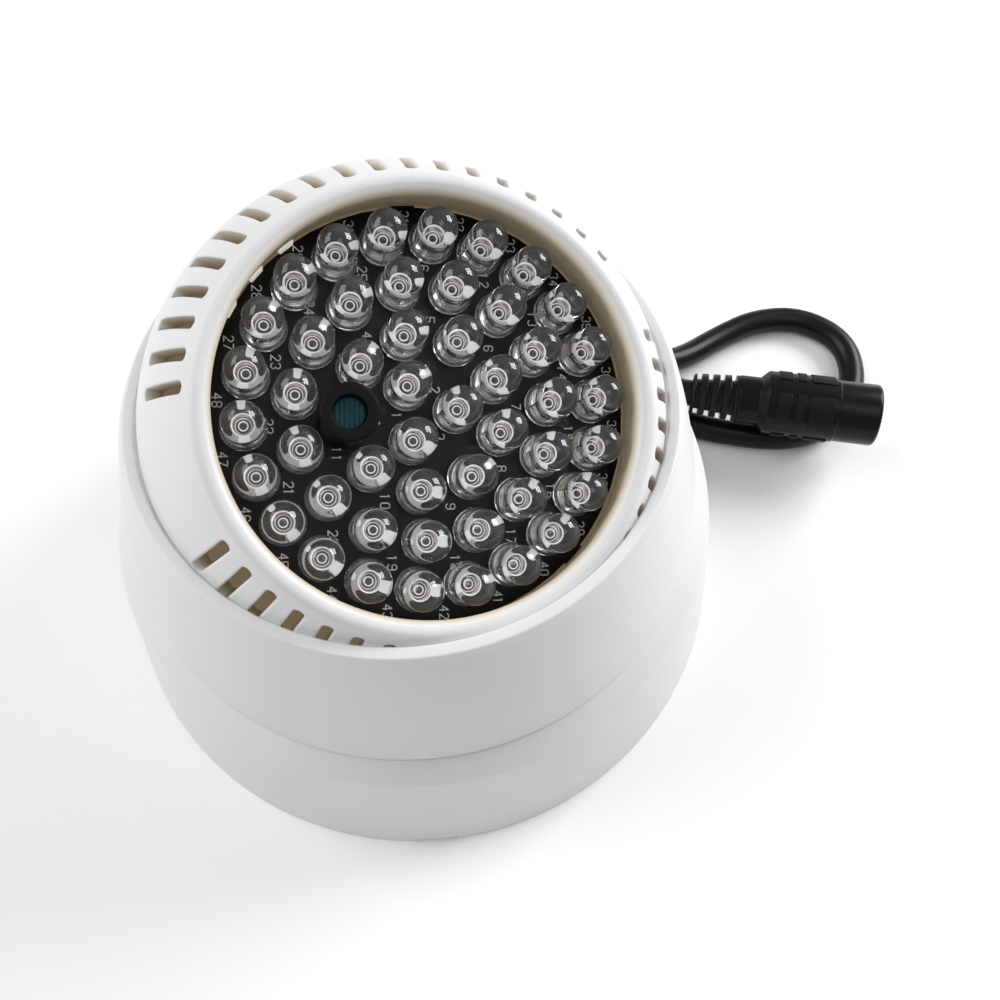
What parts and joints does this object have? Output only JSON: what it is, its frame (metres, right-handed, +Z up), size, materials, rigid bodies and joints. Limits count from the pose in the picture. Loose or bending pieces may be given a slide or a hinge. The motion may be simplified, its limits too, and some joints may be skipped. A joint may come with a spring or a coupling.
{
  "type": "infrared illuminator",
  "caption": "Infrared lamp: a slotted swivelling ball with a lamp board and light sensor, held in a round base by a twist-on collar, with a short lead and an inline socket.",
  "frame": {"origin": "middle of the base's underside, on the base's axis", "axes": "+Z up along the base's axis, -Y towards the side that the ball leans to, +X to the side that the lead's loop lies on"},
  "size_m": [0.148, 0.1206, 0.0754],
  "materials": {
    "white_plastic": "satin moulded",
    "ball_plastic": "satin moulded",
    "seat_plastic": "satin moulded",
    "screw_steel": "zinc plated",
    "board": "solder mask",
    "led_epoxy": "clear epoxy",
    "sensor_window": "lacquered",
    "sleeve_rubber": "matt",
    "chip_ceramic": "matt",
    "package_black": "matt",
    "header_nylon": "matt",
    "wire_insulation": "satin",
    "black_rubber": "matt",
    "cord_jacket": "satin",
    "jack_plastic": "satin",
    "contact_metal": "nickel plated"
  },
  "bodies": {
    "base": {"base_shell": "white_plastic", "inner_lead": "wire_insulation", "cord_grommet": "black_rubber", "cord": "cord_jacket", "jack_strain_relief": "cord_jacket", "jack_body": "jack_plastic", "jack_insulator": "jack_plastic", "jack_contact_sleeve": "contact_metal", "jack_centre_pin": "contact_metal"},
    "collar": {"collar_ring": "white_plastic"},
    "seat": {"seat_ring": "seat_plastic"},
    "ball": {"ball_front_shell": "ball_plastic", "ball_rear_shell": "ball_plastic", "shell_screws": "screw_steel", "led_board": "board", "leds_outer_ring": "led_epoxy", "leds_middle_ring": "led_epoxy", "leds_third_ring": "led_epoxy", "leds_inner_ring": "led_epoxy", "light_sensor": "sensor_window", "sensor_sleeve": "sleeve_rubber", "board_resistors": "chip_ceramic", "switch_transistor": "package_black", "supply_diode": "package_black", "lead_header": "header_nylon", "lead_plug": "header_nylon", "board_wires": "wire_insulation", "lead_bush": "black_rubber"}
  },
  "joints": [
    {"name": "collar_twist", "type": "hinge", "parent": "base", "child": "collar", "pos_m": [0, 0, 0.027], "axis": [0, 0, 1], "range_deg": [0, 18]},
    {"name": "ball_pan", "type": "hinge", "parent": "base", "child": "seat", "pos_m": [0, 0, 0.0202], "axis": [0, 0, 1], "range_deg": [-175, 175]},
    {"name": "ball_tilt", "type": "hinge", "parent": "seat", "child": "ball", "pos_m": [0, 0, 0.042], "axis": [1, 0, 0], "range_deg": [-72, 18]}
  ]
}
